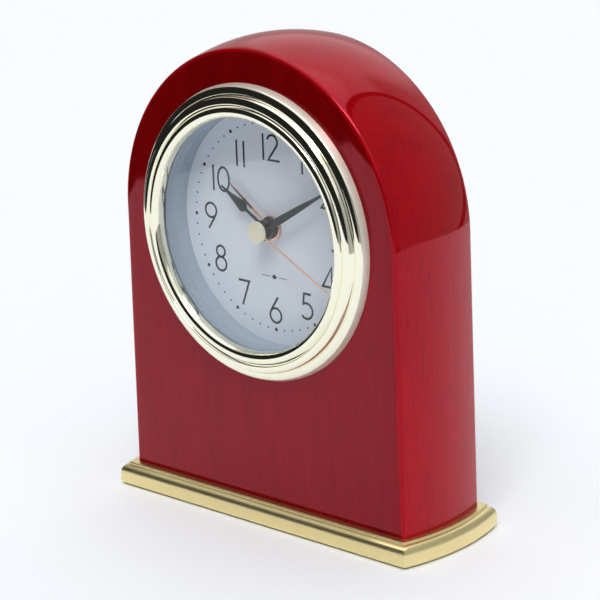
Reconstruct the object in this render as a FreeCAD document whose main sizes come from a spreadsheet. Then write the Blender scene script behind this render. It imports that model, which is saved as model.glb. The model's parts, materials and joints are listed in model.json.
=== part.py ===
"""Arch desk clock with alarm: a wooden arch case on a stepped metal plinth, a round metal bezel with glass,
a white dial with four hands, and a battery quartz alarm movement with its wheel train behind the dial.

Millimetres. Origin at the middle of the underside, +Z up, the dial faces -Y, +X is to the dial's right.
Every size is a cell of the sheet, and the features are bound to those cells with formulas.
"""
import FreeCAD, Part
import math
import os

import Sketcher

Vector = FreeCAD.Vector
os.makedirs("parts", exist_ok=True)
doc = FreeCAD.newDocument("arch_desk_clock")
sheet = doc.addObject("Spreadsheet::Sheet", "dim")

DIMENSIONS = {
    # case: a board with an arched top and a barrel-shaped rim
    "case_depth": 34.0,
    "case_foot": 7.3,
    "arch_radius": 53.2,
    "arch_height": 89.8,
    "foot_half_width": 54.3,
    "rim_bulge": 2.1,
    "rim_round": 1.2,
    "bore_radius": 40.5,
    # plinth: two layers whose ends are bowed outwards
    "felt_thick": 0.8,
    "felt_recess": 0.5,
    "felt_margin": 3.0,
    "plinth_top": 6.6,
    "plinth_half_width": 57.6,
    "plinth_half_depth": 21.3,
    "plinth_bow_radius": 66.6,
    "plinth_nose_round": 2.6,
    "plinth_toe_round": 1.2,
    "step_half_width": 55.6,
    "step_half_depth": 19.4,
    "step_bow_radius": 64.2,
    "step_round": 0.3,
    "base_screw_x": 30.0,
    "base_screw_radius": 1.75,
    "base_screw_head": 3.6,
    "base_screw_head_thick": 2.2,
    "base_screw_reach": 21.0,
    # bezel and what it holds, as depths along Y and radii about the dial's axis
    "dial_height": 88.9,
    "bezel_radius": 44.0,
    "bezel_inner": 34.6,
    "outer_edge_lift": 0.3,
    "outer_flank_radius": 43.36,
    "outer_flank_lift": 2.17,
    "outer_shoulder_radius": 43.186,
    "outer_shoulder_lift": 2.42,
    "outer_crest_radius": 41.4,
    "outer_crest_lift": 3.035,
    "outer_cushion": 2.9,
    "outer_valley_radius": 41.15,
    "outer_valley_lift": 2.95,
    "middle_flank_radius": 40.62,
    "middle_flank_lift": 4.5,
    "middle_shoulder_radius": 40.45,
    "middle_shoulder_lift": 4.72,
    "middle_crest_radius": 38.65,
    "middle_crest_lift": 5.2,
    "middle_cushion": 3.6,
    "middle_valley_radius": 38.15,
    "middle_valley_lift": 4.55,
    "inner_flank_radius": 37.75,
    "inner_flank_lift": 5.134,
    "inner_shoulder_radius": 37.6,
    "inner_shoulder_lift": 5.28,
    "inner_crest_radius": 36.4,
    "inner_crest_lift": 5.6,
    "inner_cushion": 2.4,
    "inner_lip": 1.8,
    "outer_shoulder": 0.6,
    "middle_shoulder": 0.6,
    "inner_shoulder": 0.4,
    "lens_front": -19.5,
    "lens_thick": 1.5,
    "lens_radius": 36.5,
    "rebate_radius": 36.65,
    "skirt_radius": 37.35,
    "skirt_depth": 2.5,
    "gasket_thick": 0.55,
    "surround_inner": 35.2,
    "surround_outer": 36.6,
    "dial_front": -9.2,
    "dial_thick": 0.4,
    "dial_radius": 37.2,
    "dial_hole": 3.4,
    "pan_inner": 37.4,
    "pan_outer": 39.0,
    "pan_front": -16.6,
    "pan_back": -7.3,
    "band_front": -14.0,
    "band_back": -9.5,
    # movement housing
    "wall": 1.2,
    "housing_half": 28.0,
    "housing_corner": 3.0,
    "housing_back": 8.5,
    "ear_radius": 3.6,
    "ear_reach": 31.2,
    "ear_thick": 2.0,
    "ear_screw_radius": 1.0,
    "ear_screw_head": 2.1,
    "tower_radius": 3.3,
    "tower_bore": 2.71,
    "tower_front": -9.5,
    "bay_wall": 1.0,
    "bay_top": -12.3,
    "plate_front": -2.6,
    "plate_thick": 1.0,
    "bridge_front": 3.2,
    "bridge_thick": 1.0,
    "post_radius": 1.5,
    "post_base_radius": 2.2,
    "post_hole": 1.55,
    "pivot_radius": 0.4,
    "pivot_hole": 0.45,
    "arbor_radius": 1.0,
    "arbor_hole": 1.06,
    # train: centre distances and tooth modules
    "second_module": 0.2,
    "third_module": 0.188889,
    "fast_module": 0.286667,
    "rotor_module": 0.16,
    "cannon_module": 0.333333,
    "hour_module": 0.32,
    "alarm_module": 0.4,
    "wheel_thick": 0.7,
    "motion_thick": 0.8,
    "centre_wheel_front": -1.3,
    "third_wheel_front": -0.2,
    "second_wheel_front": 0.9,
    "fast_wheel_front": 2.0,
    "minute_wheel_front": -3.7,
    "hour_wheel_front": -4.8,
    "alarm_wheel_front": -5.9,
    "alarm_wheel_thick": 0.9,
    # nested sleeves on the dial's axis, outermost first
    "alarm_sleeve": 2.66,
    "alarm_sleeve_bore": 1.98,
    "hour_sleeve": 1.93,
    "hour_sleeve_bore": 1.25,
    "cannon_tube": 1.2,
    "cannon_bore": 0.6,
    "second_arbor": 0.55,
    "alarm_hand_front": -10.3,
    "hour_hand_front": -12.0,
    "minute_hand_front": -14.0,
    "second_hand_front": -15.6,
    "hand_thick": 0.35,
    "alarm_hub": 3.7,
    "hand_hub": 3.1,
    "cap_radius": 3.25,
    "cap_front": -16.5,
    # hand lengths, and the angles clockwise from twelve at which the hands rest
    "hour_hand_length": 20.7,
    "minute_hand_length": 29.2,
    "second_hand_length": 29.5,
    "second_tail_length": 8.0,
    "alarm_hand_length": 19.3,
    "hour_hand_angle": 301.5,
    "minute_hand_angle": 59.6,
    "second_hand_angle": 118.0,
    "alarm_hand_angle": 305.7,
    # stepping motor
    "magnet_radius": 2.3,
    "magnet_front": -1.0,
    "magnet_thick": 1.8,
    "stator_hole": 2.7,
    "stator_front": -0.6,
    "lamination": 0.8,
    "coil_height": 20.2,
    "coil_half_length": 10.5,
    "coil_flange": 3.5,
    "coil_tube": 2.2,
    "coil_wound": 3.3,
    # battery and electrics
    "cell_radius": 7.1,
    "cell_height": -19.6,
    "cell_centre_depth": 1.2,
    "cell_left": -24.1,
    "cell_length": 49.5,
    "cell_nub": 1.0,
    "cell_nub_radius": 2.7,
    "door_gap": 0.15,
    "board_front": 1.0,
    "board_thick": 0.8,
    "crystal_radius": 1.0,
    "crystal_length": 6.0,
    "piezo_radius": 8.0,
    "piezo_x": 16.5,
    "piezo_z": 16.5,
    "piezo_thick": 0.3,
    "sound_hole": 0.8,
    "sound_spread": 3.2,
    # parts reached from behind
    "knob_radius": 4.5,
    "knob_front": 10.0,
    "knob_back": 14.0,
    "switch_x": -16.0,
    "switch_z": 20.0,
    "switch_travel": 4.0,
}

for row, (alias, number) in enumerate(DIMENSIONS.items(), start=1):
    sheet.set(f"A{row}", alias)
    sheet.set(f"B{row}", str(number))
    sheet.setAlias(f"B{row}", alias)
doc.recompute()

SUB_PARTS = []
VOLUMES = {}


def size(formula):
    """The number that a formula of sheet cells stands for."""
    result = sheet.evalExpression(formula)
    return float(getattr(result, "Value", result))


# ---------------------------------------------------------------- sketches and features

def new_body(name, x="0", z="dim.dial_height"):
    """A body of its own, moved to the axis on which its piece is made."""
    body = doc.addObject("PartDesign::Body", name)
    body.Label = name
    body.AllowCompound = True
    body.setExpression("Placement.Base.x", x)
    body.setExpression("Placement.Base.z", z)
    SUB_PARTS.append(body)
    return body


def new_sketch(body, role, offset="0"):
    """A sketch on one of the body's origin planes, moved along that plane's normal."""
    plane = next(item for item in body.Origin.OriginFeatures if item.Role == role)
    sketch = body.newObject("Sketcher::SketchObject", body.Name + "_sketch")
    sketch.AttachmentSupport = [(plane, "")]
    sketch.MapMode = "FlatFace"
    sketch.setExpression("AttachmentOffset.Base.z", offset)
    return sketch


def facing_sketch(body, front):
    """A sketch that faces the front, at the depth given by the formula front."""
    return new_sketch(body, "XZ_Plane", f"-({front})")


def bind(sketch, kind, geometry, point, formula):
    """Bind one dimension of a sketch to a formula."""
    number = size(formula)
    if kind == "Radius":
        index = sketch.addConstraint(Sketcher.Constraint("Radius", geometry, number))
    else:
        index = sketch.addConstraint(Sketcher.Constraint(kind, -1, 1, geometry, point, number))
    sketch.setExpression(f"Constraints[{index}]", formula)


def arc_between(start, end, radius, side):
    """The short arc between two points; side 1 has its centre to the left of the way from start to end.

    It is always made counter-clockwise, which is how a sketch tells an arc's start from its end.
    """
    half = (end - start) * 0.5
    reach = math.sqrt(max(radius ** 2 - half.Length ** 2, 0.0))
    left = Vector(-half.y, half.x, 0).normalize()
    centre = start + half + left * (reach * side)
    outward = (start + half - centre).normalize() if reach else left * -side
    crown = centre + outward * radius
    return Part.Arc(start, crown, end) if side > 0 else Part.Arc(end, crown, start)


def outline(sketch, corners):
    """A closed outline of bound corners (x, y); (x, y, radius, side) is a corner reached by an arc."""
    points = [Vector(size(corner[0]), size(corner[1]), 0) for corner in corners]
    count = len(corners)
    first = sketch.GeometryCount
    arcs = []
    for index in range(count):
        start = points[index]
        end = points[(index + 1) % count]
        target = corners[(index + 1) % count]
        if len(target) == 4:
            sketch.addGeometry(arc_between(start, end, size(target[2]), target[3]), False)
            arcs.append((first + index, target))
        else:
            sketch.addGeometry(Part.LineSegment(start, end), False)
    ends = []
    for index in range(count):
        geometry = sketch.Geometry[first + index]
        forward = (geometry.StartPoint - points[index]).Length < 1e-6
        ends.append((1, 2) if forward else (2, 1))
    for index in range(count):
        following = (index + 1) % count
        sketch.addConstraint(Sketcher.Constraint(
            "Coincident", first + index, ends[index][1], first + following, ends[following][0]))
    for geometry, target in arcs:
        bind(sketch, "Radius", geometry, 0, target[2])
    for index, corner in enumerate(corners):
        bind(sketch, "DistanceX", first + index, ends[index][0], corner[0])
        bind(sketch, "DistanceY", first + index, ends[index][0], corner[1])


def rectangle(sketch, left, bottom, right, top):
    outline(sketch, [(left, bottom), (right, bottom), (right, top), (left, top)])


def rounded_square(sketch, half, corner):
    """A square about the origin with round corners."""
    flat = f"({half} - {corner})"
    outline(sketch, [
        (f"-{flat}", f"-{half}", corner, 1), (flat, f"-{half}"),
        (half, f"-{flat}", corner, 1), (half, flat),
        (flat, half, corner, 1), (f"-{flat}", half),
        (f"-{half}", flat, corner, 1), (f"-{half}", f"-{flat}"),
    ])


def circle(sketch, radius, x="0", y="0"):
    geometry = sketch.addGeometry(
        Part.Circle(Vector(size(x), size(y), 0), Vector(0, 0, 1), size(radius)), False)
    bind(sketch, "Radius", geometry, 0, radius)
    bind(sketch, "DistanceX", geometry, 3, x)
    bind(sketch, "DistanceY", geometry, 3, y)


def pad(body, sketch, length, away=True):
    """Pad a sketch; away is the direction against the sketch's normal, towards the back of the clock."""
    feature = body.newObject("PartDesign::Pad", body.Name + "_pad")
    feature.Profile = sketch
    feature.setExpression("Length", length)
    feature.Reversed = away
    return settle(body, feature, 1)


def pocket(body, sketch, length, away=True):
    """Cut a sketch into the body; away is the direction against the sketch's normal."""
    feature = body.newObject("PartDesign::Pocket", body.Name + "_pocket")
    feature.Profile = sketch
    feature.setExpression("Length", length)
    feature.Reversed = not away
    return settle(body, feature, -1)


def turn(body, sketch, axis="V_Axis"):
    feature = body.newObject("PartDesign::Revolution", body.Name + "_turning")
    feature.Profile = sketch
    feature.ReferenceAxis = (sketch, [axis])
    feature.Angle = 360.0
    return settle(body, feature, 1)


def settle(body, feature, change):
    """Recompute a new feature, and stop if it didn't add or remove material as it should."""
    before = VOLUMES.get(body.Name, 0.0)
    body.Tip = feature
    doc.recompute()
    after = body.Shape.Volume
    VOLUMES[body.Name] = after
    if (after - before) * change <= 0:
        raise RuntimeError(f"{feature.Name} changed the volume from {before:.3f} to {after:.3f}")
    return feature


def turned(name, profile, x="0", z="dim.dial_height"):
    """A piece turned about the Y direction; the profile's corners are (radius, depth)."""
    body = new_body(name, x, z)
    sketch = new_sketch(body, "XY_Plane")
    outline(sketch, profile)
    turn(body, sketch)
    return body


def ring(name, inner, outer, front, back, x="0", z="dim.dial_height"):
    return turned(name, [(inner, front), (outer, front), (outer, back), (inner, back)], x, z)


def drill(body, radius, front, depth, places):
    """Round holes through a piece, at the places (x, z) about its own axis."""
    sketch = facing_sketch(body, front)
    for x, z in places:
        circle(sketch, radius, x, z)
    pocket(body, sketch, depth)


def columns(body, radius, front, depth, places):
    """Round posts on a piece, at the places (x, z) about its own axis."""
    sketch = facing_sketch(body, front)
    for x, z in places:
        circle(sketch, radius, x, z)
    pad(body, sketch, depth)


def round_edges(body, radius, wanted):
    """Fillet the edges of the tip for which wanted(edge) is true."""
    tip = body.Tip
    names = [f"Edge{n}" for n, edge in enumerate(tip.Shape.Edges, start=1) if wanted(edge)]
    feature = body.newObject("PartDesign::Fillet", body.Name + "_fillet")
    feature.Base = (tip, names)
    feature.setExpression("Radius", radius)
    return settle(body, feature, -1)


# ---------------------------------------------------------------- gears

ADDENDUM = 0.85
DEDENDUM = 1.25
# half widths of a tooth at its root, pitch circle and tip, as parts of the pitch
TOOTH_SHAPE = ((-DEDENDUM, 0.28), (0.0, 0.205), (ADDENDUM, 0.09))


def gear(body, teeth, module, phase, front, thick):
    """Pad a spur gear whose first tooth points at the angle phase, from +X towards +Z."""
    tooth_module = size(module)
    pitch = 2 * math.pi / teeth
    points = []
    for tooth in range(teeth):
        middle = phase + tooth * pitch
        flank = [((teeth / 2 + lift) * tooth_module, half * pitch) for lift, half in TOOTH_SHAPE]
        rising = [(radius, middle - half) for radius, half in flank]
        falling = [(radius, middle + half) for radius, half in reversed(flank)]
        points += [Vector(r * math.cos(a), r * math.sin(a), 0) for r, a in rising + falling]
    sketch = facing_sketch(body, front)
    following = points[1:] + points[:1]
    sketch.addGeometry([Part.LineSegment(a, b) for a, b in zip(points, following)], False)
    pad(body, sketch, thick)


def meshing_phase(direction, teeth, phase, mate_teeth):
    """The mate's phase when it meshes with a gear, the mate lying in the given direction from it."""
    return direction + math.pi - (phase - direction) * teeth / mate_teeth + math.pi / mate_teeth


def beside(place, direction, distance):
    """The place at a distance from another, in the given direction."""
    return place[0] + distance * math.cos(direction), place[1] + distance * math.sin(direction)


def formulas(place):
    return f"{place[0]:.6f}", f"{place[1]:.6f}"


def mesh_distance(module, teeth, mate_teeth):
    return size(module) * (teeth + mate_teeth) / 2


# teeth: wheels are driven by, or drive, the pinions named with them
THIRD_TEETH = 75
CENTRE_TEETH = 80
SECOND_TEETH = 50
FAST_TEETH = 60
TRAIN_PINION = 10
MINUTE_TEETH = 36
CANNON_PINION = 12
HOUR_TEETH = 40
HOUR_PINION = 10
ALARM_TEETH = 36
SETTING_PINION = 12

AXIS = (0.0, 0.0)
THIRD_WAY = math.radians(190)
FAST_WAY = math.radians(45)
ROTOR_WAY = math.radians(75)
MINUTE_WAY = math.radians(-15)
TIME_WAY = math.radians(10)
ALARM_WAY = math.radians(120)

THIRD = beside(AXIS, THIRD_WAY, mesh_distance("dim.second_module", TRAIN_PINION, THIRD_TEETH))
FAST = beside(AXIS, FAST_WAY, mesh_distance("dim.fast_module", TRAIN_PINION, SECOND_TEETH))
ROTOR = beside(FAST, ROTOR_WAY, mesh_distance("dim.rotor_module", TRAIN_PINION, FAST_TEETH))
MINUTE = beside(AXIS, MINUTE_WAY, mesh_distance("dim.cannon_module", CANNON_PINION, MINUTE_TEETH))
TIME = beside(MINUTE, TIME_WAY, mesh_distance("dim.cannon_module", SETTING_PINION, MINUTE_TEETH))
ALARM = beside(AXIS, ALARM_WAY, mesh_distance("dim.alarm_module", SETTING_PINION, ALARM_TEETH))
POSTS = [("-12", "12.5"), ("13", "12"), ("-3.2", "-9.4")]
BOARD_POSTS = [("-22", "-7"), ("-22", "13")]
EARS = [("dim.ear_reach", "0"), ("-dim.ear_reach", "0"), ("0", "dim.ear_reach"), ("0", "-dim.ear_reach")]


# ---------------------------------------------------------------- case and plinth

def case_outline(sketch, bulge):
    """The arch seen from the front, grown outwards by a formula; its sides lean in to meet the arch."""
    half = f"(dim.foot_half_width + {bulge})"
    radius = f"(dim.arch_radius + {bulge})"
    reach = f"sqrt({half}^2 + (dim.arch_height - dim.case_foot)^2)"
    turn_angle = f"(atan((dim.arch_height - dim.case_foot) / {half}) - acos({radius} / {reach}))"
    side = f"{radius} * cos({turn_angle})"
    shoulder = f"dim.arch_height - {radius} * sin({turn_angle})"
    top = f"dim.arch_height + {radius}"
    outline(sketch, [
        (f"-{half}", "dim.case_foot"), (half, "dim.case_foot"), (side, shoulder),
        ("0", top, radius, 1), (f"-({side})", shoulder, radius, 1),
    ])


def make_wood_case():
    body = new_body("wood_case", z="0")
    half_depth = "dim.case_depth / 2"
    shoulder_depth = "(dim.case_depth / 2 - dim.rim_round)"
    shoulder_bulge = "dim.rim_bulge * (1 - (1 - 2 * dim.rim_round / dim.case_depth)^2)"
    edge_bulge = "-dim.rim_round / 2"
    for stations in (
            ((shoulder_depth, shoulder_bulge), ("0", "dim.rim_bulge"),
             (f"-{shoulder_depth}", shoulder_bulge)),
            ((half_depth, edge_bulge), (shoulder_depth, shoulder_bulge)),
            ((f"-{shoulder_depth}", shoulder_bulge), (f"-{half_depth}", edge_bulge))):
        sections = []
        for offset, bulge in stations:
            sketch = new_sketch(body, "XZ_Plane", offset)
            case_outline(sketch, bulge)
            sections.append(sketch)
        loft = body.newObject("PartDesign::AdditiveLoft", "wood_case_loft")
        loft.Profile = sections[0]
        loft.Sections = sections[1:]
        settle(body, loft, 1)
    bore = new_sketch(body, "XZ_Plane", "dim.case_depth / 2 + 1")
    circle(bore, "dim.bore_radius", "0", "dim.dial_height")
    pocket(body, bore, "dim.case_depth + 2")
    pilots = new_sketch(body, "XY_Plane", "dim.case_foot")
    for x in ("dim.base_screw_x", "-dim.base_screw_x"):
        circle(pilots, "dim.base_screw_radius", x)
    pocket(body, pilots, "dim.base_screw_reach - dim.case_foot", away=False)


def layer_outline(sketch, half_width, half_depth, bow_radius):
    """A rectangle whose two ends are bowed outwards."""
    outline(sketch, [
        (f"-({half_width})", f"-({half_depth})", bow_radius, 1), (half_width, f"-({half_depth})"),
        (half_width, half_depth, bow_radius, 1), (f"-({half_width})", half_depth),
    ])


def level_edges(height):
    return lambda edge: edge.BoundBox.ZLength < 1e-4 and abs(edge.BoundBox.ZMin - height) < 1e-4


def make_plinth():
    under = size("dim.felt_thick - dim.felt_recess")
    body = new_body("base_plinth", z="0")
    sketch = new_sketch(body, "XY_Plane", "dim.felt_thick - dim.felt_recess")
    layer_outline(sketch, "dim.plinth_half_width", "dim.plinth_half_depth", "dim.plinth_bow_radius")
    pad(body, sketch, "dim.plinth_top - dim.felt_thick + dim.felt_recess", away=False)
    top = size("dim.plinth_top")
    round_edges(body, "dim.plinth_nose_round", level_edges(top))
    round_edges(body, "dim.plinth_toe_round", level_edges(under))
    recess = new_sketch(body, "XY_Plane", "dim.felt_thick - dim.felt_recess")
    felt_outline(recess)
    pocket(body, recess, "dim.felt_recess", away=False)
    screw_holes(body, "dim.base_screw_head", "dim.felt_thick", "dim.base_screw_head_thick")
    screw_holes(body, "dim.base_screw_radius", "dim.felt_thick", "dim.plinth_top")

    step = new_body("base_step_plate", z="0")
    sketch = new_sketch(step, "XY_Plane", "dim.plinth_top")
    layer_outline(sketch, "dim.step_half_width", "dim.step_half_depth", "dim.step_bow_radius")
    pad(step, sketch, "dim.case_foot - dim.plinth_top", away=False)
    round_edges(step, "dim.step_round", level_edges(size("dim.case_foot")))
    screw_holes(step, "dim.base_screw_radius", "dim.plinth_top", "dim.case_foot")

    felt = new_body("felt_pad", z="0")
    sketch = new_sketch(felt, "XY_Plane")
    felt_outline(sketch)
    pad(felt, sketch, "dim.felt_thick", away=False)

    screws = new_body("base_screws", z="0")
    for radius, bottom, reach in (
            ("dim.base_screw_head", "dim.felt_thick", "dim.base_screw_head_thick"),
            ("dim.base_screw_radius", "dim.felt_thick", "dim.base_screw_reach - dim.felt_thick")):
        sketch = new_sketch(screws, "XY_Plane", bottom)
        for x in ("dim.base_screw_x", "-dim.base_screw_x"):
            circle(sketch, radius, x)
        pad(screws, sketch, reach, away=False)
    slots = new_sketch(screws, "XY_Plane", "dim.felt_thick")
    for x in ("dim.base_screw_x", "-dim.base_screw_x"):
        rectangle(slots, f"{x} - 3", "-0.4", f"{x} + 3", "0.4")
    pocket(screws, slots, "0.8", away=False)


def felt_outline(sketch):
    half_width = "dim.plinth_half_width - dim.felt_margin"
    half_depth = "dim.plinth_half_depth - dim.felt_margin"
    rectangle(sketch, f"-({half_width})", f"-({half_depth})", half_width, half_depth)


def screw_holes(body, radius, bottom, depth):
    sketch = new_sketch(body, "XY_Plane", bottom)
    for x in ("dim.base_screw_x", "-dim.base_screw_x"):
        circle(sketch, radius, x)
    pocket(body, sketch, depth, away=False)


# ---------------------------------------------------------------- bezel, glass, dial

def make_bezel():
    """The bezel's front is three cushions that rise inwards, each a wide arc with a small round shoulder."""
    face = "-dim.case_depth / 2"

    def spot(name):
        return f"dim.{name}_radius", f"{face} - dim.{name}_lift"
    turned("bezel_ring", [
        ("dim.bezel_inner", "dim.lens_front"),
        ("dim.rebate_radius", "dim.lens_front"),
        ("dim.rebate_radius", f"{face} + dim.skirt_depth"),
        ("dim.skirt_radius", f"{face} + dim.skirt_depth"),
        ("dim.skirt_radius", face),
        ("dim.bezel_radius", face),
        ("dim.bezel_radius", f"{face} - dim.outer_edge_lift"),
        spot("outer_flank"),
        (*spot("outer_shoulder"), "dim.outer_shoulder", -1),
        (*spot("outer_crest"), "dim.outer_cushion", -1),
        spot("outer_valley"),
        spot("middle_flank"),
        (*spot("middle_shoulder"), "dim.middle_shoulder", -1),
        (*spot("middle_crest"), "dim.middle_cushion", -1),
        spot("middle_valley"),
        spot("inner_flank"),
        (*spot("inner_shoulder"), "dim.inner_shoulder", -1),
        (*spot("inner_crest"), "dim.inner_cushion", -1),
        ("dim.bezel_inner", f"{face} - (dim.inner_crest_lift - dim.inner_lip)", "dim.inner_lip", -1),
    ])
    lens_back = "dim.lens_front + dim.lens_thick"
    ring_back = f"{lens_back} + dim.gasket_thick"
    turned("glass_lens", [
        ("0", "dim.lens_front"), ("dim.lens_radius", "dim.lens_front"), ("dim.lens_radius", lens_back),
        ("0", lens_back)])
    ring("lens_gasket", "dim.surround_inner", "dim.surround_outer", lens_back, ring_back)
    ring("dial_surround", "dim.surround_inner", "dim.surround_outer", ring_back, "dim.dial_front")
    dial_back = "dim.dial_front + dim.dial_thick"
    ring("dial", "dim.dial_hole", "dim.dial_radius", "dim.dial_front", dial_back)
    pan = turned("insert_pan", [
        ("dim.pan_inner", "dim.pan_front"), ("dim.pan_outer", "dim.pan_front"),
        ("dim.pan_outer", "dim.pan_back"), ("dim.dial_hole", "dim.pan_back"),
        ("dim.dial_hole", dial_back), ("dim.pan_inner", dial_back)])
    drill(pan, "dim.ear_screw_radius", f"{dial_back} + 0.3", "3", EARS)
    ring("insert_gasket", "dim.pan_outer", "dim.bore_radius", "dim.band_front", "dim.band_back")


# ---------------------------------------------------------------- movement housing

def make_housing():
    inner_half = "(dim.housing_half - dim.wall)"
    floor_back = "dim.pan_back + dim.wall"
    housing = new_body("movement_front_case")
    sketch = facing_sketch(housing, "dim.pan_back")
    rounded_square(sketch, "dim.housing_half", "dim.housing_corner")
    pad(housing, sketch, "dim.housing_back - dim.pan_back")
    sketch = facing_sketch(housing, floor_back)
    rounded_square(sketch, inner_half, "(dim.housing_corner - dim.wall)")
    pocket(housing, sketch, "dim.housing_back - dim.pan_back")
    for ear in EARS:
        columns(housing, "dim.ear_radius", "dim.pan_back", "dim.ear_thick", [ear])
    sketch = facing_sketch(housing, floor_back)
    rectangle(sketch, f"-{inner_half}", "dim.bay_top", inner_half, "dim.bay_top + dim.bay_wall")
    pad(housing, sketch, f"dim.housing_back - ({floor_back})")
    columns(housing, "dim.tower_radius", "dim.tower_front", "dim.pan_back - dim.tower_front", [("0", "0")])
    columns(housing, "dim.post_base_radius", floor_back, f"dim.plate_front - ({floor_back})", POSTS)
    columns(housing, "dim.post_radius", floor_back, f"dim.bridge_front - ({floor_back})", POSTS)
    columns(housing, "dim.post_radius", floor_back, f"dim.board_front - ({floor_back})", BOARD_POSTS)
    drill(housing, "dim.tower_bore", "dim.tower_front - 1", "6", [("0", "0")])
    drill(housing, "dim.ear_screw_radius + 0.1", "dim.pan_back - 1", "4", EARS)
    drill(housing, "0.7", "dim.bridge_front - 4", "5", POSTS)

    cover = new_body("movement_back_cover")
    sketch = facing_sketch(cover, "dim.housing_back")
    rounded_square(sketch, "dim.housing_half", "dim.housing_corner")
    pad(cover, sketch, "dim.wall")
    bay = facing_sketch(cover, "dim.housing_back - 1")
    door_opening(bay, "0")
    pocket(cover, bay, "dim.wall + 2")
    drill(cover, "dim.arbor_hole", "dim.housing_back - 1", "4", [formulas(TIME), formulas(ALARM)])
    sound = [("dim.piezo_x", "dim.piezo_z")]
    for turn_index in range(6):
        across, up = formulas(beside(AXIS, turn_index * math.pi / 3, size("dim.sound_spread")))
        sound.append((f"dim.piezo_x + {across}", f"dim.piezo_z + {up}"))
    drill(cover, "dim.sound_hole", "dim.housing_back - 1", "4", sound)
    slot = facing_sketch(cover, "dim.housing_back - 1")
    rectangle(slot, "dim.switch_x - 1.6", "dim.switch_z - 1.1",
              "dim.switch_x + dim.switch_travel + 1.6", "dim.switch_z + 1.1")
    pocket(cover, slot, "4")

    door = new_body("battery_door")
    sketch = facing_sketch(door, "dim.housing_back")
    door_opening(sketch, "dim.door_gap")
    pad(door, sketch, "dim.wall")
    ribs = facing_sketch(door, "dim.housing_back + dim.wall")
    for rib in range(4):
        lower = f"dim.cell_height - 3.2 + {rib * 1.8}"
        rectangle(ribs, "-6", lower, "6", f"{lower} + 0.8")
    pad(door, ribs, "0.5")

    screws = new_body("movement_screws")
    ear_back = "dim.pan_back + dim.ear_thick"
    columns(screws, "dim.ear_screw_head", ear_back, "1.3", EARS)
    columns(screws, "dim.ear_screw_radius", "dim.pan_back - 1.2", "dim.ear_thick + 1.2", EARS)
    slots = facing_sketch(screws, f"{ear_back} + 0.8")
    for x, z in EARS:
        rectangle(slots, f"{x} - 1.5", f"{z} - 0.3", f"{x} + 1.5", f"{z} + 0.3")
    pocket(screws, slots, "1")


def door_opening(sketch, gap):
    """The battery bay's mouth in the back cover; gap is taken off all round."""
    rectangle(sketch, f"-25.4 + {gap}", f"dim.cell_height - 6.4 + {gap}",
              f"25.4 - {gap}", f"dim.cell_height + 6.4 - {gap}")


def make_plates():
    plate = new_body("middle_plate")
    sketch = facing_sketch(plate, "dim.plate_front")
    rectangle(sketch, "-15", "dim.bay_top + dim.bay_wall + 0.2", "18", "15.2")
    pad(plate, sketch, "dim.plate_thick")
    post = formulas(MINUTE)
    columns(plate, "0.6", "dim.hour_wheel_front + 0.1",
            "dim.plate_front - dim.hour_wheel_front - 0.1", [post])
    through = "dim.plate_thick + 2"
    before = "dim.plate_front - 1"
    drill(plate, "dim.hour_sleeve_bore", before, through, [("0", "0")])
    drill(plate, "dim.post_hole", before, through, POSTS)
    drill(plate, "dim.pivot_hole", before, through, [formulas(THIRD), formulas(FAST), formulas(ROTOR)])
    drill(plate, "dim.arbor_hole", before, through, [formulas(TIME), formulas(ALARM)])

    bridge = new_body("train_bridge")
    sketch = facing_sketch(bridge, "dim.bridge_front")
    outline(sketch, [
        ("-5.5", "-11.1"), ("-1", "-11.1"), ("10", "-3"), ("15", "8"), ("15", "14.6"), ("-14.5", "14.6"),
        ("-14.5", "-5")])
    pad(bridge, sketch, "dim.bridge_thick")
    before = "dim.bridge_front - 1"
    drill(bridge, "0.8", before, through, POSTS)
    drill(bridge, "dim.pivot_hole", before, through, [formulas(THIRD), formulas(FAST), formulas(ROTOR)])
    drill(bridge, "dim.pivot_hole", before, through, [("0", "0")])
    drill(bridge, "dim.arbor_hole", before, through, [formulas(ALARM)])

    screws = new_body("bridge_screws")
    bridge_back = "dim.bridge_front + dim.bridge_thick"
    columns(screws, "1.6", bridge_back, "1", POSTS)
    columns(screws, "0.7", "dim.bridge_front - 3", "dim.bridge_thick + 3", POSTS)


# ---------------------------------------------------------------- stepping motor, board, battery

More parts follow.
